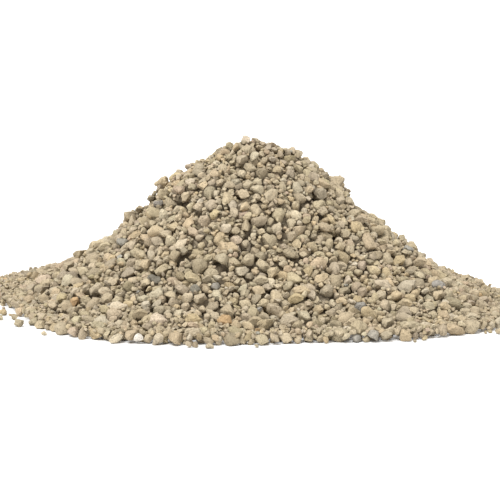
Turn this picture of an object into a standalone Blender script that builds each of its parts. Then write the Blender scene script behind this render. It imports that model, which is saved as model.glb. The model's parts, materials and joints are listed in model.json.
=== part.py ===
"""A poured heap of granulated zeolite, at its real size, in metres, +Z up.

The heap is one faceted solid: a mound of granules packed together, flat where it rests.
The granules that stand out from it are solids of their own. Each lies in a socket in the
slope, or loose on the table round the foot. The front of the heap faces -Y.
"""

import math
import random

import bmesh
import bpy
import numpy as np
from mathutils import Matrix, Vector, noise
from mathutils.bvhtree import BVHTree
from mathutils.geometry import delaunay_2d_cdt

MM = 0.001

# The mound's foot: its distance in mm from the middle, every 20 degrees round from +X by
# +Y. It reaches furthest in front on the right and behind on the left.
FOOT_REACH = (
    147, 145, 150, 150, 147, 146, 152, 164, 164,
    156, 145, 152, 161, 154, 148, 158, 168, 160,
)
FOOT_RIPPLE = 2.5 * MM
RIPPLES = 4
WIDEST = (max(FOOT_REACH) + 5) * MM

# Height of the granules' tips against the share of the way from the apex to the foot.
# High up the mound is round, as if its foot were a circle of the body's reach.
BODY_REACH = 161 * MM
FOOT_PULL = 3
PROFILE = (
    (0.0, 99.5 * MM),
    (0.1, 92.8 * MM),
    (0.2, 82.0 * MM),
    (0.3, 71.0 * MM),
    (0.4, 57.0 * MM),
    (0.5, 42.5 * MM),
    (0.6, 30.0 * MM),
    (0.7, 20.5 * MM),
    (0.8, 13.5 * MM),
    (0.9, 8.0 * MM),
    (1.0, 4.2 * MM),
)
UNDULATION = 2.2 * MM
UNDULATION_LENGTH = 26 * MM
UNDULATION_FADE = 0.8
SLOPE_REACH = 3 * MM
HEAP_SEED = 11

# Shoulders and hollows of the ridge, on the left and the right of the apex: how far
# across and back from it, how much higher or lower, and how far each reaches, in mm.
SHOULDERS = (
    (-136, 6, -0.8, 14),
    (-80, 6, -1.8, 12),
    (-54, 6, 3.4, 7),
    (-32, 6, -0.8, 8),
    (4, 6, -2.6, 7),
    (16, 6, -2.4, 8),
    (31, 6, 3.4, 8),
    (54, 6, 6.0, 6),
    (65, 6, -7.0, 8),
    (100, 6, 1.2, 12),
    (138, 6, -1.4, 14),
)

# Lumps: one for each granule that shows, wide ones thrown down first and narrower ones
# in what room is left, with a crevice point between each three of them.
LUMP_RADIUS = (4.9 * MM, 2.9 * MM)
THROWS = 20000
TIP_RISE = (-1.0 * MM, 1.6 * MM)
CREVICE_DEPTH = (3.0 * MM, 5.4 * MM)
FOOT_LUMPS = 96
FOOT_LUMP = 1.6 * MM
FOOT_UNEVEN = 0.3
FOOT_BAND = 4.5 * MM
FOOT_TIP_HEIGHT = 4.6 * MM
FOOT_CREVICE_HEIGHT = 2.4 * MM
LOWEST_CREVICE = 2.0 * MM

# Granules: a swollen ball with flat broken faces, lowered into its socket.
FACES_PER_GRANULE = 6
FACE_DISTANCE = (0.56, 0.84)
SWELL = 0.24
SWELL_WAVES = 1.3
SEED_SHIFT = Vector((3.7, 1.9, 0))
FLATNESS = math.radians(14)
BURIED_SHARE = 0.60
SOCKET_MARGIN = 2.6 * MM
START_ABOVE = 15 * MM
LOWERING_STEP = 0.15 * MM
CLEARANCE = 0.5 * MM

# The granules that stand out on the front are placed as a viewer sees them who looks
# down on the heap at this angle: across and up from the middle of the foot.
VIEW_TILT = math.radians(9.3)
VIEW_DISTANCE = 1050 * MM
FRONT_STEP = 0.5 * MM
FOOT_MARGIN = 5.5 * MM

# name, across, up, length, width, thickness in mm, turn in degrees
FRONT_GRANULES = (
    ("large_granule_01", 11, 61, 10.0, 9.0, 8.0, 20),
    ("large_granule_02", 40, 55, 11.5, 7.8, 7.4, 12),
    ("large_granule_03", -16, 30, 13.0, 7.6, 7.0, -8),
    ("large_granule_04", -38, 69, 10.5, 6.0, 5.6, 6),
    ("large_granule_05", -23, 73, 9.0, 6.8, 6.0, -22),
    ("large_granule_06", 2, 53, 9.0, 7.0, 6.2, 78),
    ("large_granule_07", 41, 11, 11.0, 6.8, 6.4, 34),
    ("large_granule_08", 30, 3, 10.5, 6.4, 6.0, -20),
    ("large_granule_09", -43, 30, 9.2, 7.6, 6.8, 70),
    ("large_granule_10", -57, -14, 11.4, 9.6, 8.2, 25),
    ("large_granule_11", -36, -13, 9.8, 8.0, 7.4, -15),
    ("large_granule_12", -81, -7, 10.4, 7.4, 6.6, 10),
    ("large_granule_13", -93, -19, 10.8, 7.6, 7.0, -6),
    ("large_granule_14", -35, -23, 10.6, 7.4, 6.8, 8),
    ("large_granule_15", -58, 1, 9.4, 8.4, 7.2, 48),
    ("large_granule_16", -85, 17, 8.8, 6.6, 6.0, 66),
    ("large_granule_17", 77, 6, 12.4, 9.6, 8.0, -10),
    ("large_granule_18", 22, -14, 11.0, 9.2, 8.0, 16),
    ("large_granule_19", 93, -19, 13.4, 8.2, 7.6, -4),
    ("large_granule_20", 63, -19, 10.4, 9.0, 7.8, 30),
    ("large_granule_21", 115, -7, 9.6, 6.8, 6.2, 22),
    ("large_granule_22", 61, 40, 9.0, 7.8, 6.8, 40),
    ("large_granule_23", -115, -4, 12.6, 7.4, 6.6, -18),
    ("large_granule_24", 36, 72, 9.4, 7.0, 6.4, 74),
    ("large_granule_25", -3, 89, 8.4, 7.6, 6.8, 30),
    ("grey_granule_1", -35, 4, 7.4, 6.8, 6.0, 0),
    ("grey_granule_2", -59, 10, 9.4, 6.0, 5.4, -10),
    ("grey_granule_3", 111, 4, 9.8, 6.6, 5.8, -34),
    ("grey_granule_4", -57, 54, 7.4, 7.0, 6.0, 50),
    ("grey_granule_5", 93, 25, 9.6, 5.8, 5.2, -14),
    ("rust_granule", -17, -13, 8.6, 6.8, 6.2, 14),
)

# The same sort of granule spread over the sides and the back, high and low in turn.
REAR_GRANULES = 13
REAR_FROM = math.radians(8)
REAR_TO = math.radians(178)
REAR_SHARES = (0.30, 0.68, 0.48, 0.84)
REAR_SHARE_SPREAD = 0.05
REAR_LENGTH = (8.6 * MM, 12.0 * MM)
REAR_WIDTH = (0.68, 0.85)
REAR_THICKNESS = (0.60, 0.72)
REAR_GREY = (5, 10)
REAR_SEED = 50

# Loose granules on the table: direction in degrees from the middle, way out past the
# foot and length in mm.
LOOSE_GRANULES = (
    (203, 4, 7.0),
    (208, 9, 5.2),
    (217, 3, 7.6),
    (228, 6, 5.0),
    (262, 2, 5.8),
    (318, 4, 6.0),
    (346, 7, 5.2),
    (352, 2, 7.2),
    (37, 5, 6.2),
    (74, 3, 7.4),
    (81, 8, 4.8),
    (141, 4, 6.6),
    (176, 3, 5.4),
)
LOOSE_SIDES = (1, 0.82, 0.70)
LOOSE_FLAT = 0.36
LOOSE_SEED = 80

TAN = ("zeolite_tan", (0.46, 0.37, 0.245), 0.92)
GREY = ("zeolite_grey", (0.27, 0.27, 0.25), 0.9)
RUST = ("zeolite_rust", (0.42, 0.255, 0.12), 0.92)


def clear_scene():
    for obj in list(bpy.data.objects):
        bpy.data.objects.remove(obj)


def new_collection(name):
    collection = bpy.data.collections.new(name)
    bpy.context.scene.collection.children.link(collection)
    return collection


def zeolite(name, colour, roughness):
    """The stone's material, made once for each colour."""
    material = bpy.data.materials.get(name)
    if material is None:
        material = bpy.data.materials.new(name)
        material.use_nodes = True
        shader = material.node_tree.nodes["Principled BSDF"]
        shader.inputs["Base Color"].default_value = (*colour, 1)
        shader.inputs["Roughness"].default_value = roughness
        shader.inputs["Metallic"].default_value = 0
    return material


def add_object(name, bm, stone, collection):
    mesh = bpy.data.meshes.new(name)
    bm.to_mesh(mesh)
    bm.free()
    mesh.materials.append(zeolite(*stone))
    obj = bpy.data.objects.new(name, mesh)
    collection.objects.link(obj)
    return obj


# The mound's form


def foot_radius(angle):
    """Distance from the middle to the foot in a direction seen from above."""
    count = len(FOOT_REACH)
    step, part = divmod(angle / (2 * math.pi) * count, 1)
    a, b, c, d = (FOOT_REACH[(int(step) + i) % count] for i in (-1, 0, 1, 2))
    bend = 2 * a - 5 * b + 4 * c - d
    twist = 3 * (b - c) + d - a
    reach = (2 * b + (c - a) * part + bend * part**2 + twist * part**3) / 2
    around = Vector((math.cos(angle), math.sin(angle), 0)) * RIPPLES
    return reach * MM + FOOT_RIPPLE * noise.noise(around)


def heap_height(x, y):
    """Height of the granules' tips over a point of the table."""
    out = math.hypot(x, y)
    share = out / foot_radius(math.atan2(y, x))
    near_foot = min(1.0, share) ** FOOT_PULL
    level = near_foot * share + (1 - near_foot) * out / BODY_REACH
    height = float(np.interp(level, *zip(*PROFILE)))
    for across, back, rise, reach in SHOULDERS:
        away = math.hypot(x - across * MM, y - back * MM) / (reach * MM)
        height += rise * MM * math.exp(-(away**2))
    swell = UNDULATION * noise.noise(Vector((x, y, 0)) / UNDULATION_LENGTH)
    return height + swell * max(0.0, 1 - UNDULATION_FADE * share)


def slope_normal(x, y):
    across = heap_height(x + SLOPE_REACH, y) - heap_height(x - SLOPE_REACH, y)
    back = heap_height(x, y + SLOPE_REACH) - heap_height(x, y - SLOPE_REACH)
    return Vector((-across, -back, 2 * SLOPE_REACH)).normalized()


def foot_points(rng):
    """The foot's outline, out at each lump and in at each crevice."""
    points = []
    for i in range(2 * FOOT_LUMPS):
        angle = (i + rng.uniform(-FOOT_UNEVEN, FOOT_UNEVEN)) * math.pi / FOOT_LUMPS
        is_lump = i % 2 == 0
        reach = foot_radius(angle) + (FOOT_LUMP if is_lump else -FOOT_LUMP)
        height = FOOT_TIP_HEIGHT if is_lump else FOOT_CREVICE_HEIGHT
        points.append(Vector((reach * math.cos(angle), reach * math.sin(angle), height)))
    return points


def lump_points(sockets, rng):
    """Tips thrown at the slope until it is covered, clear of each other and of the sockets."""
    places = [(x, y, heap_height(x, y)) for x, y, _, _ in sockets]
    radii = [radius for _, _, radius, _ in sockets]
    for i in range(THROWS):
        x = rng.uniform(-WIDEST, WIDEST)
        y = rng.uniform(-WIDEST, WIDEST)
        radius = float(np.interp(i / THROWS, (0, 1), LUMP_RADIUS))
        if math.hypot(x, y) > foot_radius(math.atan2(y, x)) - FOOT_BAND - radius / 2:
            continue
        place = (x, y, heap_height(x, y))
        away = np.linalg.norm(np.array(places) - place, axis=1)
        if (away > np.array(radii) + radius).all():
            places.append(place)
            radii.append(radius)
    return [Vector(place) for place in places]


def shape_mound(sockets, rng):
    """The slope as one open sheet: a net over the tips, let down between each three."""
    rim = foot_points(rng)
    tips = lump_points(sockets, rng)
    for tip in tips:
        tip.z += rng.uniform(*TIP_RISE)
    points = rim + tips
    outline = [(i, (i + 1) % len(rim)) for i in range(len(rim))]
    net = delaunay_2d_cdt([p.xy for p in points], outline, [], 1, 0)
    mesh = bpy.data.meshes.new("net")
    mesh.from_pydata(points, [], net[2])
    bm = bmesh.new()
    bm.from_mesh(mesh)
    bpy.data.meshes.remove(mesh)
    ridges = [e for e in bm.edges if not e.is_boundary]
    poked = bmesh.ops.poke(bm, faces=bm.faces[:])
    for v in poked["verts"]:
        v.co.z = heap_height(v.co.x, v.co.y) - rng.uniform(*CREVICE_DEPTH)
        v.co.z = max(v.co.z, LOWEST_CREVICE)
    bmesh.ops.rotate_edges(bm, edges=ridges)
    return bm


def press_sockets(bm, sockets):
    """Lowers the points under each granule that lies in the slope."""
    for x, y, radius, depth in sockets:
        reach = radius + SOCKET_MARGIN
        for v in bm.verts:
            away = math.hypot(v.co.x - x, v.co.y - y) / reach
            if away < 1:
                bottom = heap_height(x, y) - depth * math.sqrt(1 - away**2)
                v.co.z = max(min(v.co.z, bottom), LOWEST_CREVICE)


def close_underneath(bm):
    """A short wall round the foot, and the flat face that the heap rests on."""
    rim = [e for e in bm.edges if e.is_boundary]
    made = bmesh.ops.extrude_edge_only(bm, edges=rim)["geom"]
    for v in made:
        if isinstance(v, bmesh.types.BMVert):
            v.co.z = 0
    floor = [e for e in bm.edges if e.is_boundary]
    bmesh.ops.contextual_create(bm, geom=floor)
    bmesh.ops.recalc_face_normals(bm, faces=bm.faces)
    bmesh.ops.triangulate(bm, faces=bm.faces)


def make_heap(sockets, collection):
    bm = shape_mound(sockets, random.Random(HEAP_SEED))
    press_sockets(bm, sockets)
    close_underneath(bm)
    return add_object("heap", bm, TAN, collection)


# Single granules


def unit_direction(rng):
    z = rng.uniform(-1, 1)
    turn = rng.uniform(0, 2 * math.pi)
    flat = math.sqrt(1 - z * z)
    return Vector((flat * math.cos(turn), flat * math.sin(turn), z))


def press_flat(bm, normal, distance):
    """Moves what stands beyond a plane back onto it, as a broken face."""
    for v in bm.verts:
        beyond = v.co.dot(normal) - distance
        if beyond > 0:
            v.co -= normal * beyond


def granule_shape(size, seed):
    """One granule round the origin: length along X, width along Y, thickness along Z."""
    rng = random.Random(seed)
    bm = bmesh.new()
    bmesh.ops.create_icosphere(bm, subdivisions=2, radius=1)
    for v in bm.verts:
        v.co *= 1 + SWELL * noise.noise(v.co * SWELL_WAVES + SEED_SHIFT * seed)
    for _ in range(FACES_PER_GRANULE):
        press_flat(bm, unit_direction(rng), rng.uniform(*FACE_DISTANCE))
    extent = [
        max(v.co[i] for v in bm.verts) - min(v.co[i] for v in bm.verts) for i in range(3)
    ]
    bmesh.ops.scale(bm, vec=[size[i] / extent[i] for i in range(3)], verts=bm.verts)
    bmesh.ops.dissolve_limit(
        bm, angle_limit=FLATNESS, verts=bm.verts[:], edges=bm.edges[:]
    )
    bmesh.ops.triangulate(bm, faces=bm.faces[:])
    return bm


def corners_and_faces(obj):
    mesh = obj.data
    corners = [obj.matrix_world @ v.co for v in mesh.vertices]
    return corners, [tuple(p.vertices) for p in mesh.polygons]


def rest_in_slope(granule, heap_tree):
    """Lowers a granule until it meets its socket, then lifts it by the clearance."""
    corners, faces = corners_and_faces(granule)
    lowered = 0
    while not BVHTree.FromPolygons(corners, faces).overlap(heap_tree):
        for corner in corners:
            corner.z -= LOWERING_STEP
        lowered += LOWERING_STEP
    granule.location.z += CLEARANCE - lowered


def place_in_slope(name, x, y, size, turn, seed, stone, collection):
    """A granule over its socket, lying along the slope, still clear of the heap."""
    granule = add_object(name, granule_shape(size, seed), stone, collection)
    lie = slope_normal(x, y).to_track_quat("Z", "Y").to_matrix()
    lie = lie @ Matrix.Rotation(turn, 3, "Z")
    granule.rotation_euler = lie.to_euler()
    granule.location = (x, y, heap_height(x, y) + START_ABOVE)
    return granule


def front_place(across, up):
    """The point of the slope that a viewer sees there, walking back from the foot."""
    y = -WIDEST
    while y < 0:
        height = heap_height(across, y)
        away = y * math.cos(VIEW_TILT) - height * math.sin(VIEW_TILT)
        scale = 1 + away / VIEW_DISTANCE
        x = across * scale
        seen = (height * math.cos(VIEW_TILT) + y * math.sin(VIEW_TILT)) / scale
        inside = foot_radius(math.atan2(y, x)) - math.hypot(x, y)
        if inside > FOOT_MARGIN and seen >= up:
            break
        y += FRONT_STEP
    return x, y


def planned_granules():
    """Name, place, size, turn, seed and stone of every granule that lies in the slope."""
    planned = []
    for seed, (name, across, up, *size, turn) in enumerate(FRONT_GRANULES):
        stone = {"grey": GREY, "rust": RUST}.get(name.split("_")[0], TAN)
        x, y = front_place(across * MM, up * MM)
        size = [side * MM for side in size]
        planned.append((name, x, y, size, math.radians(turn), seed, stone))
    rng = random.Random(REAR_SEED)
    for i in range(REAR_GRANULES):
        angle = REAR_FROM + (REAR_TO - REAR_FROM) * (i + 0.5) / REAR_GRANULES
        share = REAR_SHARES[i % len(REAR_SHARES)]
        share += rng.uniform(-REAR_SHARE_SPREAD, REAR_SHARE_SPREAD)
        x = share * foot_radius(angle) * math.cos(angle)
        y = share * foot_radius(angle) * math.sin(angle)
        length = rng.uniform(*REAR_LENGTH)
        size = [length, length * rng.uniform(*REAR_WIDTH), length * rng.uniform(*REAR_THICKNESS)]
        stone = GREY if i + 1 in REAR_GREY else TAN
        name = f"rear_granule_{i + 1:02d}"
        turn = rng.uniform(0, math.pi)
        planned.append((name, x, y, size, turn, REAR_SEED + i, stone))
    return planned


def make_loose_granules(collection):
    """Granules that rolled off the foot and lie on the table, each on a flat face."""
    rng = random.Random(LOOSE_SEED)
    for i, (direction, past_foot, length) in enumerate(LOOSE_GRANULES):
        angle = math.radians(direction)
        reach = foot_radius(angle) + FOOT_LUMP + (past_foot + length / 2) * MM
        size = [length * MM * side for side in LOOSE_SIDES]
        bm = granule_shape(size, LOOSE_SEED + i)
        press_flat(bm, Vector((0, 0, -1)), size[2] * LOOSE_FLAT)
        name = f"loose_granule_{i + 1:02d}"
        granule = add_object(name, bm, TAN, collection)
        granule.rotation_euler.z = rng.uniform(0, math.pi)
        lowest = min(v.co.z for v in granule.data.vertices)
        granule.location = (reach * math.cos(angle), reach * math.sin(angle), -lowest)


def centre_on_origin(collection):
    """Moves everything sideways so that the origin is the middle of the space it takes."""
    bpy.context.view_layer.update()
    points = [o.matrix_world @ v.co for o in collection.objects for v in o.data.vertices]
    for axis in range(2):
        values = [p[axis] for p in points]
        middle = (min(values) + max(values)) / 2
        for obj in collection.objects:
            obj.location[axis] -= middle


def main():
    clear_scene()
    collection = new_collection("zeolite_heap")
    planned = planned_granules()
    sockets = [
        (x, y, sum(size[:2]) / 4, size[2] * BURIED_SHARE)
        for _, x, y, size, _, _, _ in planned
    ]
    heap = make_heap(sockets, collection)
    heap_tree = BVHTree.FromPolygons(*corners_and_faces(heap))
    granules = [place_in_slope(*plan, collection) for plan in planned]
    bpy.context.view_layer.update()
    for granule in granules:
        rest_in_slope(granule, heap_tree)
    make_loose_granules(collection)
    centre_on_origin(collection)


main()
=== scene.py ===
import json
import math
import random

import bpy
import numpy as np
from mathutils import Euler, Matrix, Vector, noise
from mathutils.bvhtree import BVHTree

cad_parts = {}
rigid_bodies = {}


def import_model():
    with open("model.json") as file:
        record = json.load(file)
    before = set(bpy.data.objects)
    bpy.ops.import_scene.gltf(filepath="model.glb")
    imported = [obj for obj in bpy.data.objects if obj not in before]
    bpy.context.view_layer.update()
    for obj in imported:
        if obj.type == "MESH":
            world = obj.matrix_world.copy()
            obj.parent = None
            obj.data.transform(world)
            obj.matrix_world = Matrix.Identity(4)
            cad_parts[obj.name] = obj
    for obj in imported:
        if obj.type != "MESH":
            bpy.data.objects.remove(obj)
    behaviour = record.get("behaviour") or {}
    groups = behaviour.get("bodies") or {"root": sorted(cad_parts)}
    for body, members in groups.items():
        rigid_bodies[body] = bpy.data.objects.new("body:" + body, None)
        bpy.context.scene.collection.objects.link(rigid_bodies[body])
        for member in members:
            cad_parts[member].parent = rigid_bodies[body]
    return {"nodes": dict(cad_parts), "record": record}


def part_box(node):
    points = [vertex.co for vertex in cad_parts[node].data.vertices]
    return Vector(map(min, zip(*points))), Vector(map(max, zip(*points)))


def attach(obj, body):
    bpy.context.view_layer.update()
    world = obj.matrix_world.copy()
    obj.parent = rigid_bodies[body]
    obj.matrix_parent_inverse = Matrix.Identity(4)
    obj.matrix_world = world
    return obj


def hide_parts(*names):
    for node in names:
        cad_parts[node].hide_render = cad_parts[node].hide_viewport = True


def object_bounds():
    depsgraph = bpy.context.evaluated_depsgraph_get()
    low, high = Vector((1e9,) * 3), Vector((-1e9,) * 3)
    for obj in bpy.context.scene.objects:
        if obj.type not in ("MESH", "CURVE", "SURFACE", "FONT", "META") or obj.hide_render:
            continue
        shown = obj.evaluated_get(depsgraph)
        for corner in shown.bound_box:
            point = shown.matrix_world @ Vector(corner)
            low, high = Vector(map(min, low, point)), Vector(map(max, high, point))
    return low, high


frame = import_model()
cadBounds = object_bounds()
mm = 0.001
print("stage: frame loaded")


def deselectAll():
    for obj in bpy.context.view_layer.objects:
        obj.select_set(False)


def makeActive(obj):
    deselectAll()
    obj.select_set(True)
    bpy.context.view_layer.objects.active = obj


def editAll(obj):
    makeActive(obj)
    bpy.ops.object.mode_set(mode="EDIT")
    bpy.ops.mesh.select_all(action="SELECT")


def objectMode():
    bpy.ops.object.mode_set(mode="OBJECT")


deselectAll()

# Camera: a long lens a little above the table, looking at the heap's front
view = {
    "heapMiddle": (0.976 * mm, 0.772 * mm, 0.0),  # the heap's own axis in the frame
    "cameraFrom": (0.0, -1036.1 * mm, 170.4 * mm),
    "aimAt": (-1.8 * mm, 0.0, 29.2 * mm),
    "lens": 126,
    "sensor": 36,
    "clip": (0.01, 100),
}


def setCamera():
    middle = Vector(view["heapMiddle"])
    place = middle + Vector(view["cameraFrom"])
    aim = middle + Vector(view["aimAt"])
    bpy.ops.object.camera_add(location=place)
    camera = bpy.context.object
    camera.name = "photoCamera"
    camera.rotation_euler = (aim - place).to_track_quat("-Z", "Y").to_euler()
    camera.data.lens = view["lens"]
    camera.data.sensor_width = view["sensor"]
    camera.data.clip_start, camera.data.clip_end = view["clip"]
    bpy.context.scene.camera = camera


setCamera()
print("stage: camera")

# Light: white room, and one big soft lamp high in front on the left
light = {
    "roomStrength": 1.17,
    "lampStrength": 3.15,
    "lampSoftness": math.radians(26),
    "lampTilt": (math.radians(32), math.radians(-18), 0.0),
    "lampPlace": (-0.6, -0.6, 1.2),
    "floorSize": 60.0,
    "floorWhite": (0.85, 0.85, 0.85, 1),
    "floorRoughness": 0.8,
    "floorSpecular": 0.2,
}


def setLight():
    world = bpy.data.worlds.new("whiteRoom")
    bpy.context.scene.world = world
    world.use_nodes = True
    background = world.node_tree.nodes["Background"]
    background.inputs["Color"].default_value = (1, 1, 1, 1)
    background.inputs["Strength"].default_value = light["roomStrength"]
    bpy.ops.object.light_add(type="SUN", location=light["lampPlace"])
    lamp = bpy.context.object
    lamp.name = "softLamp"
    lamp.rotation_euler = light["lampTilt"]
    lamp.data.energy = light["lampStrength"]
    lamp.data.angle = light["lampSoftness"]
    bpy.context.scene.view_settings.view_transform = "Standard"


def layFloor():
    bpy.ops.mesh.primitive_plane_add(size=light["floorSize"], location=(0, 0, 0))
    floor = bpy.context.object
    floor.name = "whiteTable"
    paint = bpy.data.materials.new("whiteTablePaint")
    paint.use_nodes = True
    shader = paint.node_tree.nodes["Principled BSDF"]
    shader.inputs["Base Color"].default_value = light["floorWhite"]
    shader.inputs["Roughness"].default_value = light["floorRoughness"]
    shader.inputs["Specular IOR Level"].default_value = light["floorSpecular"]
    floor.data.materials.append(paint)


setLight()
layFloor()
print("stage: light and table")

# Stone: matte and dusty, mottled, stained here and there, with fine grit and dark pits; the
# darkening at the pits is partly the stone's dark specks and partly painted shade in the dents.
# Each granule's own colour comes from the attribute stoneColour. A shade is a texture's
# range, then the brightness at each end of it.
stone = {
    "mottle": {"Scale": 420.0, "Detail": 4.0, "Roughness": 0.6},
    "stain": {"Scale": 190.0, "Detail": 3.0, "Roughness": 0.55},
    "grit": {"Scale": 1250.0, "Detail": 3.0, "Roughness": 0.7},
    "pits": {"Scale": 900.0, "Randomness": 1.0},
    "stainColour": (0.42, 0.280, 0.160, 1),
    "stainShare": (0.62, 0.76, 0.0, 0.22),
    "mottleShade": (0.3, 0.7, 0.84, 1.12),
    "gritShade": (0.3, 0.7, 0.76, 1.19),
    # pits: the colour falls to 0.55 at their middles, partly dark specks of the stone and partly
    # painted shade in the pits
    "pitSpeckAndPaintedShade": (0.14, 0.30, 0.55, 1.0),
    "roughness": 0.93,
    "specular": 0.16,
    "mottleRelief": 1.4,
    "bumpStrength": 0.65,
    "bumpHeight": 0.50 * mm,
}


def node(tree, kind, **inputs):
    made = tree.nodes.new(kind)
    for name, value in inputs.items():
        made.inputs[name.replace("_", " ")].default_value = value
    return made


def ranged(tree, source, span):
    fromMin, fromMax, toMin, toMax = span
    made = node(
        tree, "ShaderNodeMapRange",
        From_Min=fromMin, From_Max=fromMax, To_Min=toMin, To_Max=toMax,
    )
    tree.links.new(source, made.inputs["Value"])
    return made.outputs["Result"]


def maths(tree, operation, *values):
    made = tree.nodes.new("ShaderNodeMath")
    made.operation = operation
    for socket, value in zip(made.inputs, values):
        if isinstance(value, float):
            socket.default_value = value
        else:
            tree.links.new(value, socket)
    return made.outputs[0]


def zeoliteStone(name):
    material = bpy.data.materials.new(name)
    material.use_nodes = True
    tree = material.node_tree
    link = tree.links.new
    shader = tree.nodes["Principled BSDF"]
    shader.inputs["Roughness"].default_value = stone["roughness"]
    shader.inputs["Specular IOR Level"].default_value = stone["specular"]
    place = tree.nodes.new("ShaderNodeTexCoord").outputs["Object"]
    own = tree.nodes.new("ShaderNodeAttribute")
    own.attribute_name = "stoneColour"

    mottle = node(tree, "ShaderNodeTexNoise", **stone["mottle"])
    stain = node(tree, "ShaderNodeTexNoise", **stone["stain"])
    grit = node(tree, "ShaderNodeTexNoise", **stone["grit"])
    pits = node(tree, "ShaderNodeTexVoronoi", **stone["pits"])
    for texture in (mottle, stain, grit, pits):
        link(place, texture.inputs["Vector"])

    stained = tree.nodes.new("ShaderNodeMix")
    stained.data_type = "RGBA"
    stainShare = ranged(tree, stain.outputs["Fac"], stone["stainShare"])
    link(stainShare, stained.inputs["Factor"])
    link(own.outputs["Color"], stained.inputs["A"])
    stained.inputs["B"].default_value = stone["stainColour"]

    mottleShade = ranged(tree, mottle.outputs["Fac"], stone["mottleShade"])
    gritShade = ranged(tree, grit.outputs["Fac"], stone["gritShade"])
    # darker at the pits, where the bump also dents: partly dark specks of the stone, partly
    # painted shade in the pits
    pitSpeckAndPaintedShade = ranged(tree, pits.outputs["Distance"], stone["pitSpeckAndPaintedShade"])
    shade = maths(tree, "MULTIPLY", mottleShade, gritShade)
    shade = maths(tree, "MULTIPLY", shade, pitSpeckAndPaintedShade)
    scaled = tree.nodes.new("ShaderNodeVectorMath")
    scaled.operation = "SCALE"
    link(stained.outputs["Result"], scaled.inputs[0])
    link(shade, scaled.inputs["Scale"])
    link(scaled.outputs["Vector"], shader.inputs["Base Color"])

    coarse, fine = mottle.outputs["Fac"], grit.outputs["Fac"]
    relief = maths(tree, "MULTIPLY_ADD", coarse, stone["mottleRelief"], fine)
    relief = maths(tree, "MULTIPLY", relief, pitSpeckAndPaintedShade)
    bump = node(
        tree, "ShaderNodeBump", Strength=stone["bumpStrength"], Distance=stone["bumpHeight"]
    )
    link(relief, bump.inputs["Height"])
    link(bump.outputs["Normal"], shader.inputs["Normal"])
    return material


zeoliteGranules = zeoliteStone("zeoliteGranules")
print("stage: stone")

# Colours of single granules, and how often each turns up
tones = {
    "tan": (0.377, 0.311, 0.210),
    "ochre": (0.393, 0.313, 0.199),
    "pale": (0.431, 0.367, 0.260),
    "pink": (0.386, 0.304, 0.210),
    "dark": (0.308, 0.254, 0.174),
    "grey": (0.290, 0.268, 0.226),
    "olive": (0.172, 0.156, 0.121),
    "rust": (0.380, 0.262, 0.144),
    "cream": (0.590, 0.545, 0.460),
}
toneShares = {"tan": 64, "ochre": 13, "pale": 8, "pink": 4, "dark": 10, "grey": 0.4, "rust": 0.15}
toneSpread = {"bright": 0.08, "reddish": 0.013, "bluish": 0.030}


def granuleTone(rng, name=None):
    name = name or rng.choices(list(toneShares), list(toneShares.values()))[0]
    bright, reddish, bluish = (1 + rng.gauss(0, spread) for spread in toneSpread.values())
    red, green, blue = tones[name]
    return (red * bright * reddish, green * bright, blue * bright * bluish, 1.0)


# Granule shapes: a ball made lumpy, broken flat on a few sides, its edges worn soft,
# then thinned to few faces
shapes = {
    "firstSeed": 100,
    "shift": (5.3, 2.9),
    "kinds": 40,
    "lump": 0.36,
    "lumpWaves": 3.0,
    "knob": 0.10,
    "knobWaves": 8.0,
    "flats": (3, 7),
    "flatDistance": (0.25, 0.40),
    "voxel": 0.042,
    "worn": 3,
    "rough": 0.05,
    "roughWaves": 11.0,
    "width": (0.62, 0.92),
    "thickness": (0.56, 0.82),
    "faces": {"coarse": 130, "medium": 90, "small": 60, "fine": 36},
}


def randomDirection(rng):
    z = rng.uniform(-1, 1)
    turn = rng.uniform(0, 2 * math.pi)
    flat = math.sqrt(1 - z * z)
    return Vector((flat * math.cos(turn), flat * math.sin(turn), z))


def applied(obj, kind, **settings):
    makeActive(obj)
    modifier = obj.modifiers.new(kind.lower(), kind)
    for name, value in settings.items():
        setattr(modifier, name, value)
    bpy.ops.object.modifier_apply(modifier=modifier.name)


def wearSoft(obj, voxel, passes):
    # even, closed skin with its edges rounded
    applied(obj, "REMESH", mode="VOXEL", voxel_size=voxel)
    editAll(obj)
    bpy.ops.mesh.vertices_smooth(factor=0.5, repeat=passes)
    objectMode()


def pushOut(obj, distance):
    # moves each point along its normal, by the distance worked out for its place
    outward = [v.normal.copy() for v in obj.data.vertices]
    for v, normal in zip(obj.data.vertices, outward):
        v.co += normal * distance(v.co)


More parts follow.
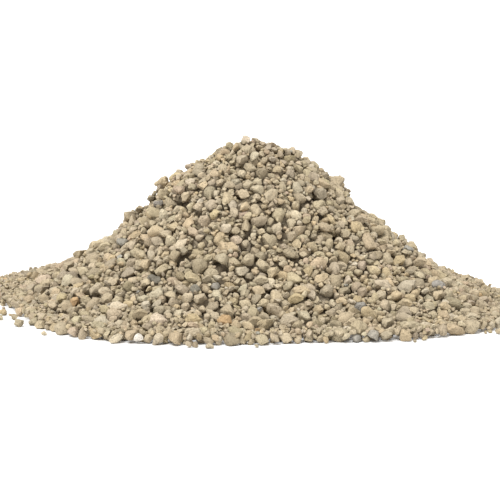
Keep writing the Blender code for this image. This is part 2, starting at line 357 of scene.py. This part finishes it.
def modelGranule(kind):
    rng = random.Random(shapes["firstSeed"] + kind)
    deselectAll()
    bpy.ops.mesh.primitive_ico_sphere_add(subdivisions=4, radius=0.5, location=(0, 0, 0))
    granule = bpy.context.object
    shiftX, shiftY = shapes["shift"]
    shift = Vector((kind * shiftX, kind * shiftY, 0))
    for v in granule.data.vertices:
        lump = shapes["lump"] * noise.noise(v.co * shapes["lumpWaves"] + shift)
        knob = shapes["knob"] * noise.noise(v.co * shapes["knobWaves"] - shift)
        v.co *= 1 + lump + knob
    editAll(granule)
    for _ in range(rng.randint(*shapes["flats"])):
        bpy.ops.mesh.select_all(action="SELECT")
        side = randomDirection(rng)
        bpy.ops.mesh.bisect(
            plane_co=side * rng.uniform(*shapes["flatDistance"]), plane_no=side,
            use_fill=True, clear_outer=True,
        )
    objectMode()
    wearSoft(granule, shapes["voxel"], shapes["worn"])
    pushOut(granule, lambda p: shapes["rough"] * noise.noise(p * shapes["roughWaves"] + shift))
    points = meshPoints(granule)
    low, high = points.min(0), points.max(0)
    sides = np.array([1, rng.uniform(*shapes["width"]), rng.uniform(*shapes["thickness"])])
    points = (points - (low + high) / 2) / (high - low) * sides
    granule.data.vertices.foreach_set("co", points.astype(np.float32).ravel())
    thinned = {}
    for size, faces in shapes["faces"].items():
        copy = granule.copy()
        copy.data = granule.data.copy()
        bpy.context.collection.objects.link(copy)
        applied(copy, "TRIANGULATE")
        ratio = faces / len(copy.data.polygons)
        applied(copy, "DECIMATE", ratio=ratio, use_collapse_triangulate=True)
        thinned[size] = (meshPoints(copy), meshFaces(copy))
        bpy.data.objects.remove(copy)
    bpy.data.objects.remove(granule)
    return thinned


def meshPoints(obj):
    points = np.empty(len(obj.data.vertices) * 3, np.float32)
    obj.data.vertices.foreach_get("co", points)
    return points.reshape(-1, 3).astype(float)


def meshFaces(obj):
    faces = np.empty(len(obj.data.polygons) * 3, np.int32)
    obj.data.polygons.foreach_get("vertices", faces)
    return faces.reshape(-1, 3)


masters = [modelGranule(kind) for kind in range(shapes["kinds"])]
print("stage: granule shapes,", len(masters))

# Height maps: the table cut into small cells, with the level that granules may fill up to
maps = {
    "cell": 0.5 * mm,
    "coarseCell": 1.0 * mm,
    "smooth": 4,  # coarse cells
    "bridge": 7,  # coarse cells, across the sockets
    "lift": 1.2 * mm,
    "margin": 4 * mm,
    "socket": 2.6 * mm,
}
lowCorner = np.array(cadBounds[0])[:2] - maps["margin"]
highCorner = np.array(cadBounds[1])[:2] + maps["margin"]
mapSize = np.ceil((highCorner - lowCorner) / maps["coarseCell"]).astype(int) * 2


def nodeTree(name):
    mesh = frame["nodes"][name].data
    points = [v.co.copy() for v in mesh.vertices]
    return BVHTree.FromPolygons(points, [tuple(p.vertices) for p in mesh.polygons])


def heapLevel():
    tree = nodeTree("heap")
    down = Vector((0, 0, -1))
    rows, columns = mapSize // 2
    level = np.zeros((rows, columns))
    for i in range(rows):
        for j in range(columns):
            x, y = lowCorner + (np.array((i, j)) + 0.5) * maps["coarseCell"]
            hit = tree.ray_cast(Vector((x, y, 1)), down)[0]
            if hit is not None:
                level[i, j] = hit.z
    return level


def smoothed(level, spread):
    reach = np.arange(-3 * spread, 3 * spread + 1)
    weights = np.exp(-(reach**2) / (2 * spread**2))
    weights /= weights.sum()
    for axis in range(2):
        level = np.apply_along_axis(np.convolve, axis, level, weights, "same")
    return level


def finer(level):
    # twice the cells each way, in straight lines between the old ones
    for axis in range(2):
        count = level.shape[axis]
        places = (np.arange(2 * count) + 0.5) / 2 - 0.5
        below = np.clip(np.floor(places).astype(int), 0, count - 2)
        part = np.clip(places - below, 0, 1)
        part = part[:, None] if axis == 0 else part[None, :]
        level = np.take(level, below, axis) * (1 - part) + np.take(level, below + 1, axis) * part
    return level


def cellPlaces(rows, columns, cell):
    cells = np.moveaxis(np.mgrid[:rows, :columns], 0, -1)
    return lowCorner + (cells + 0.5) * cell


def slopeGranules():
    return [n for n in frame["nodes"] if n != "heap" and not n.startswith("loose")]


def awayFromSockets():
    rows, columns = mapSize // 2
    places = cellPlaces(rows, columns, maps["coarseCell"])
    clear = np.ones((rows, columns))
    for name in slopeGranules():
        low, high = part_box(name)
        middle = np.array((low + high) / 2)[:2]
        reach = (high - low).xy.length / 2 + maps["socket"]
        clear[np.linalg.norm(places - middle, axis=2) < reach] = 0
    return clear


def meanLevel(level, weight, spread):
    cover = smoothed(weight, spread)
    return smoothed(level * weight, spread) / np.maximum(cover, 1e-6)


rough = heapLevel()
covered = (rough > 0).astype(float)
counted = covered * awayFromSockets()
rough = np.where(counted > 0, rough, meanLevel(rough, counted, maps["bridge"]))
mean = meanLevel(rough, covered, maps["smooth"])
mean = 2 * mean - meanLevel(mean, covered, maps["smooth"])  # round tops back to their height
mean *= covered
insideHeap = finer(covered) > 0.5
nearHeap = finer(smoothed(covered, maps["smooth"]))
fillTo = np.where(insideHeap, finer(mean) + maps["lift"], 0)
print("stage: height maps,", fillTo.shape, "highest", round(float(fillTo.max()) / mm, 1))


def cellOf(x, y):
    return np.floor((np.array((x, y)) - lowCorner) / maps["cell"]).astype(int)


def sidesAt(tree, x, y):
    # lower and upper side of a solid at one place, or None where it isn't
    under = tree.ray_cast(Vector((x, y, -1)), Vector((0, 0, 1)))[0]
    if under is None:
        return None
    return under.z, tree.ray_cast(Vector((x, y, 1)), Vector((0, 0, -1)))[0].z


def footprint(points, faces):
    # both sides of a granule over each cell that it covers
    tree = BVHTree.FromPolygons([tuple(p) for p in points], faces.tolist())
    cell = maps["cell"]
    half = int(np.ceil(np.abs(points[:, :2]).max() / cell))
    size = 2 * half + 1
    under = np.full((size, size), np.inf)
    over = np.full((size, size), -np.inf)
    for i in range(size):
        for j in range(size):
            sides = sidesAt(tree, (i - half) * cell, (j - half) * cell)
            if sides is not None:
                under[i, j], over[i, j] = sides
    return half, under, over


# Sizes: how long the granules of each sort are, and how many poses of them there are
sizes = {
    "coarse": {"length": (8.8 * mm, 14.4 * mm), "poses": 160, "above": 2.3 * mm},
    "medium": {"length": (6.4 * mm, 8.8 * mm), "poses": 190, "above": 1.6 * mm},
    "small": {"length": (4.2 * mm, 6.2 * mm), "poses": 160, "above": 0.8 * mm},
    "fine": {"length": (2.5 * mm, 4.2 * mm), "poses": 80, "above": 0.3 * mm},
}
poseSeed = 7
mostTilt = math.radians(60)
rimDrop = 0.4 * mm


def widened(over):
    # the upper side with a narrow rim, which keeps the neighbours a little away
    rim = np.pad(over, 1, constant_values=-np.inf)
    rim = np.maximum.reduce([rim[2:, 1:-1], rim[:-2, 1:-1], rim[1:-1, 2:], rim[1:-1, :-2]])
    return np.maximum(over, rim - rimDrop)


def makePoses():
    rng = random.Random(poseSeed)
    poses = {}
    for size, plan in sizes.items():
        poses[size] = []
        for i in range(plan["poses"]):
            points, faces = masters[i % len(masters)][size]
            length = rng.uniform(*plan["length"])
            tilt = (rng.uniform(-mostTilt, mostTilt), rng.uniform(-mostTilt, mostTilt))
            turn = np.array(Euler((*tilt, 0)).to_matrix())
            heading = np.array(Euler((0, 0, rng.uniform(0, 2 * math.pi))).to_matrix())
            placed = points * length @ (heading @ turn).T
            half, under, over = footprint(placed, faces)
            poses[size].append({
                "points": placed, "faces": faces, "top": placed[:, 2].max(),
                "half": half, "under": under, "over": widened(over), "mask": np.isfinite(under),
            })
    return poses


poses = makePoses()
print("stage: poses,", {size: len(made) for size, made in poses.items()})

# Pouring: granules dropped on a core until the heap is full, the big ones mostly low down.
# Each throw tries some poses near a cell that wants more, and keeps the one that fits best.
pour = {
    "seed": 44,
    "coreDepth": 10.5 * mm,
    "apexShares": {"coarse": 20, "medium": 36, "small": 34, "fine": 10},
    "footShares": {"coarse": 82, "medium": 15, "small": 2, "fine": 1},
    "lowPower": 0.7,
    "tries": 9,
    "wander": 3,  # cells
    "voidWeight": 0.7,
    "bedded": 0.6,
    "bedInside": 0.7,
    "bedHeight": 0.5,
    "bedFall": 1.3,
    "uneven": (0.4, 1.7),
    "footGranule": 7.4 * mm,
    "least": {"mixed": 2.4 * mm, "small": 3.1 * mm, "fine": 2.2 * mm},
    "throws": {"mixed": 40000, "small": 30000, "fine": 40000},
    "lookEvery": 150,  # throws
    "fewPlaces": 40,
    "noRoom": 2,  # cells each way that want nothing more once nothing fits
    "underTop": 0.05 * mm,
    "hidden": 1.1 * mm,
    "patchy": 0.7,
    "patchLength": 16 * mm,
    "strays": 46,
    "straySizes": ("fine", "fine", "small"),
    "strayCover": (0.04, 0.42),
}
heapTop = cadBounds[1][2]


def bedNodes():
    # heaps granules up round each larger one that would stand free of the slope
    places = cellPlaces(*fillTo.shape, maps["cell"])
    for name in slopeGranules():
        low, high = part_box(name)
        away = np.linalg.norm(places - np.array((low + high) / 2)[:2], axis=2)
        radius = (high - low).xy.length / 2 * pour["bedInside"]
        collar = low.z + pour["bedHeight"] * (high.z - low.z)
        collar = collar - pour["bedFall"] * np.maximum(away - radius, 0)
        np.maximum(fillTo, collar, out=fillTo, where=insideHeap)


# Crest: its small rises and dips in mm, as steps to the right, height and width
crest = {
    "rises": (
        (-136, -1.8, 6), (-112, 1.1, 6), (-97, 3.0, 6), (-62, -8.0, 5.5), (-45, 3.2, 5),
        (-33, 3.2, 4), (-23.5, 1.2, 6), (5, -1.4, 4), (26.5, 3.2, 5), (37, 2.0, 5),
        (53, 3.3, 3.5), (62.5, -2.4, 4), (77, 2.8, 4), (96, 2.9, 7), (105.5, -1.6, 4),
        (120, -1.1, 5), (137, -2.6, 8),
    ),
    "behind": 5 * mm,
    "reach": 25 * mm,
}


def shapeCrest():
    places = cellPlaces(*fillTo.shape, maps["cell"])
    along = (places[..., 1] - crest["behind"]) / crest["reach"]
    for right, height, width in crest["rises"]:
        across = (places[..., 0] / mm - right) / width
        risen = fillTo + height * mm * np.exp(-across**2 - along**2)
        fillTo[insideHeap] = np.maximum(risen, 0)[insideHeap]


def blockNodes(ceiling, surface):
    # the larger granules: nothing is dropped on them, and what is under them stays under
    for name in frame["nodes"]:
        if name == "heap":
            continue
        tree = nodeTree(name)
        bedded = 0 if name.startswith("loose") else pour["bedded"]
        low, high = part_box(name)
        first, last = cellOf(low.x, low.y), cellOf(high.x, high.y)
        for i in range(first[0], last[0] + 1):
            for j in range(first[1], last[1] + 1):
                x, y = lowCorner + (np.array((i, j)) + 0.5) * maps["cell"]
                sides = sidesAt(tree, x, y)
                if sides is not None:
                    under, top = sides
                    ceiling[i, j] = under + bedded * (top - under)
                    surface[i, j] = top


def pourHeap():
    rng = random.Random(pour["seed"])
    core = np.where(insideHeap, np.maximum(fillTo - pour["coreDepth"], 0), 0)
    bedNodes()
    shapeCrest()
    level = core.copy()
    ceiling = np.full(level.shape, np.inf)
    nodeTops = np.zeros(level.shape)
    blockNodes(ceiling, nodeTops)
    goal = np.minimum(fillTo, ceiling)
    boxLow = cellOf(cadBounds[0].x, cadBounds[0].y)
    boxHigh = cellOf(cadBounds[1].x, cadBounds[1].y)
    dropped = []

    def weights(i, j):
        low = max(0, 1 - fillTo[i, j] / heapTop) ** pour["lowPower"]
        patch = Vector((i, j, 0)) * maps["cell"] / pour["patchLength"]
        low = min(1, max(0, low + pour["patchy"] * noise.noise(patch)))
        apex, foot = pour["apexShares"], pour["footShares"]
        return [apex[size] * (1 - low) + foot[size] * low for size in sizes]

    def drop(i, j, size, ground):
        best = None
        for _ in range(pour["tries"]):
            pose = poses[size][rng.randrange(len(poses[size]))]
            half = pose["half"]
            a = i + rng.randint(-pour["wander"], pour["wander"])
            b = j + rng.randint(-pour["wander"], pour["wander"])
            if not (boxLow + half < (a, b)).all() or not ((a, b) < boxHigh - half).all():
                continue
            if not ground[a, b]:
                continue
            area = (slice(a - half, a + half + 1), slice(b - half, b + half + 1))
            under = level[area]
            z = (under - pose["under"])[pose["mask"]].max()
            top = z + pose["top"]
            above = top - goal[a, b]
            allowed = sizes[size]["above"] * rng.uniform(*pour["uneven"])
            if above > allowed and top > pour["footGranule"]:
                continue
            if top > heapTop - pour["underTop"] or (z + pose["over"] > ceiling[area]).any():
                continue
            gap = (z + pose["under"] - under)[pose["mask"]].mean()
            score = above + pour["voidWeight"] * gap
            if best is None or score < best[0]:
                best = (score, pose, a, b, z, area)
        if best is None:
            return False
        _, pose, a, b, z, area = best
        np.maximum(level[area], z + pose["over"], out=level[area])
        x, y = lowCorner + (np.array((a, b)) + 0.5) * maps["cell"]
        dropped.append((pose, x, y, z, area))
        return True

    for stage in pour["throws"]:
        landed = 0
        wanting = goal.copy()
        for throw in range(pour["throws"][stage]):
            if throw % pour["lookEvery"] == 0:
                places = np.argwhere(wanting - level > pour["least"][stage])
                if len(places) < pour["fewPlaces"]:
                    break
            i, j = places[rng.randrange(len(places))]
            if wanting[i, j] - level[i, j] < pour["least"][stage]:
                continue
            size = stage
            if stage == "mixed":
                size = rng.choices(list(sizes), weights(i, j))[0]
            if drop(i, j, size, insideHeap):
                landed += 1
            else:
                around = pour["noRoom"]
                wanting[i - around:i + around + 1, j - around:j + around + 1] = 0
        print("   poured", stage, landed, "throws", throw + 1)
    least, most = pour["strayCover"]
    beside = ~insideHeap & (nearHeap > least) & (nearHeap < most)
    places = np.argwhere(beside)
    for _ in range(pour["strays"]):
        i, j = places[rng.randrange(len(places))]
        drop(i, j, rng.choice(pour["straySizes"]), beside)

    surface = np.maximum(level, nodeTops)
    shown = []
    for pose, x, y, z, area in dropped:
        if (z + pose["over"] - surface[area]).max() > -pour["hidden"]:
            shown.append((pose, x, y, z))
    print("   granules", len(dropped), "of which show", len(shown))
    return core, shown


coreLevel, pouredGranules = pourHeap()
print("stage: poured, triangles", sum(len(g[0]["faces"]) for g in pouredGranules))


# Granule pieces: all that lie in one sector of the heap, as one mesh
sectors = {"count": 6, "toneSeed": 3, "sharpAngle": math.radians(44)}
onTable = 0.02 * mm

# One cream-white granule at the foot: the middle-sized one nearest to its place
cream = {"place": (-62 * mm, -151 * mm), "halfCells": range(6, 10)}
midSized = [g for g in pouredGranules if g[0]["half"] in cream["halfCells"]]
creamGranule = min(midSized, key=lambda g: math.dist(g[1:3], cream["place"]))


def joinGranules(name, granules, rng):
    points, faces, colours = [], [], []
    start = 0
    for granule in granules:
        pose, x, y, z = granule
        placed = pose["points"] + (x, y, z)
        placed[:, 2] = np.maximum(placed[:, 2], onTable)
        points.append(placed)
        faces.append(pose["faces"] + start)
        tone = granuleTone(rng, "cream" if granule is creamGranule else None)
        colours.append(np.tile(tone, (len(pose["points"]), 1)))
        start += len(pose["points"])
    mesh = bpy.data.meshes.new(name)
    mesh.from_pydata(np.concatenate(points), [], np.concatenate(faces))
    layer = mesh.attributes.new("stoneColour", "FLOAT_COLOR", "POINT")
    layer.data.foreach_set("color", np.concatenate(colours).astype(np.float32).ravel())
    piece = bpy.data.objects.new(name, mesh)
    bpy.context.collection.objects.link(piece)
    return piece


def finishPiece(piece, slotName, *replaced):
    makeActive(piece)
    bpy.ops.object.shade_smooth_by_angle(angle=sectors["sharpAngle"])
    piece.data.materials.clear()
    piece.data.materials.append(zeoliteGranules)
    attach(piece, "root")
    if replaced:
        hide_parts(*replaced)


def makeSectors():
    rng = random.Random(sectors["toneSeed"])
    middle = view["heapMiddle"]
    groups = [[] for _ in range(sectors["count"])]
    for granule in pouredGranules:
        angle = math.atan2(granule[2] - middle[1], granule[1] - middle[0]) % (2 * math.pi)
        groups[int(angle / (2 * math.pi) * sectors["count"])].append(granule)
    for number, group in enumerate(groups, 1):
        piece = joinGranules(f"granules_sector_{number}", group, rng)
        finishPiece(piece, "zeolite_tan", "heap")
        print("   sector", number, len(piece.data.polygons), "triangles")


makeSectors()
print("stage: granules joined")

# Core: a closed mound under the granules, seen only at the bottom of the deepest gaps; its
# colour, darker than the granules' stone, is painted shade for the bottom of the gaps
core = {
    "step": 3.5 * mm,
    "below": 0.4 * mm,
    "inFrom": 0.6 * mm,
    "edgeHeight": 0.1 * mm,
    "colour": (0.22, 0.175, 0.118, 1),
}


def makeCore():
    deselectAll()
    size = highCorner - lowCorner
    middle = (highCorner + lowCorner) / 2
    cuts = np.ceil(size / core["step"]).astype(int)
    bpy.ops.mesh.primitive_grid_add(
        x_subdivisions=int(cuts[0]), y_subdivisions=int(cuts[1]), size=1, location=(0, 0, 0)
    )
    mound = bpy.context.object
    mound.name = "granules_core"
    points = meshPoints(mound)
    points[:, :2] = points[:, :2] * size + middle
    cells = np.clip(((points[:, :2] - lowCorner) / maps["cell"]).astype(int), 0, mapSize - 1)
    levels = coreLevel[cells[:, 0], cells[:, 1]]
    points[:, 2] = np.maximum(levels - core["below"], 0)
    mound.data.vertices.foreach_set("co", points.astype(np.float32).ravel())
    editAll(mound)
    bpy.ops.mesh.select_all(action="DESELECT")
    objectMode()
    for v in mound.data.vertices:
        v.select = bool(levels[v.index] <= core["inFrom"])
    bpy.ops.object.mode_set(mode="EDIT")
    bpy.ops.mesh.delete(type="VERT")
    bpy.ops.mesh.select_all(action="SELECT")
    bpy.ops.mesh.delete_loose()
    bpy.ops.mesh.select_all(action="SELECT")
    bpy.ops.mesh.region_to_loop()
    bpy.ops.mesh.extrude_edges_move()
    objectMode()
    for v in mound.data.vertices:
        if v.select:
            v.co.z = core["edgeHeight"]
    bpy.ops.object.mode_set(mode="EDIT")
    bpy.ops.mesh.edge_face_add()
    bpy.ops.mesh.select_all(action="SELECT")
    bpy.ops.mesh.normals_make_consistent(inside=False)
    bpy.ops.mesh.quads_convert_to_tris()
    objectMode()
    # the core is painted in the dark painted-shade colour, darker than the stone
    layer = mound.data.attributes.new("stoneColour", "FLOAT_COLOR", "POINT")
    for item in layer.data:
        item.color = core["colour"]
    finishPiece(mound, "zeolite_tan", "heap")
    print("   core", len(mound.data.polygons), "triangles")


makeCore()
print("stage: core")

# Standing-out granules: each solid worn soft in its place, made lumpy and finely rough
refine = {
    "seed": 17,
    "weld": 0.01 * mm,
    "shiftMost": 50,
    "voxel": 0.5 * mm,
    "worn": 2,
    "lump": 0.9 * mm,
    "lumpWaves": 300.0,
    "rough": 0.35 * mm,
    "roughWaves": 900.0,
    "inward": 0.3,
    "tanTones": ("tan", "tan", "ochre", "pale"),
    "olive": ("grey_granule_1", "grey_granule_2"),
}


def refineNode(name, rng):
    source = frame["nodes"][name]
    piece = source.copy()
    piece.data = source.data.copy()
    piece.name = name + "_stone"
    piece.parent = None
    for key in list(piece.keys()):
        del piece[key]
    bpy.context.collection.objects.link(piece)
    editAll(piece)
    bpy.ops.mesh.remove_doubles(threshold=refine["weld"])
    bpy.ops.mesh.normals_make_consistent(inside=False)
    objectMode()
    wearSoft(piece, refine["voxel"], refine["worn"])
    shift = Vector((rng.uniform(0, refine["shiftMost"]), rng.uniform(0, refine["shiftMost"]), 0))

    def unevenness(place):
        lump = noise.noise(place * refine["lumpWaves"] + shift) - refine["inward"]
        rough = noise.noise(place * refine["roughWaves"] - shift) - refine["inward"]
        return lump * refine["lump"] + rough * refine["rough"]

    pushOut(piece, unevenness)
    low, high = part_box(name)
    low.z = max(low.z, onTable)
    for v in piece.data.vertices:
        v.co = [min(max(c, least), most) for c, least, most in zip(v.co, low, high)]
    applied(piece, "TRIANGULATE")
    slotName = next(s["material_slot"] for s in frame["record"]["subparts"] if s["node"] == name)
    kind = slotName.split("_")[1]
    if kind == "tan":
        kind = rng.choice(refine["tanTones"])
    elif name in refine["olive"]:
        kind = "olive"
    tone = granuleTone(rng, kind)
    layer = piece.data.attributes.new("stoneColour", "FLOAT_COLOR", "POINT")
    for item in layer.data:
        item.color = tone
    finishPiece(piece, slotName, name)


def refineNodes():
    rng = random.Random(refine["seed"])
    for name in sorted(frame["nodes"]):
        if name != "heap":
            refineNode(name, rng)


refineNodes()
print("stage: single granules")
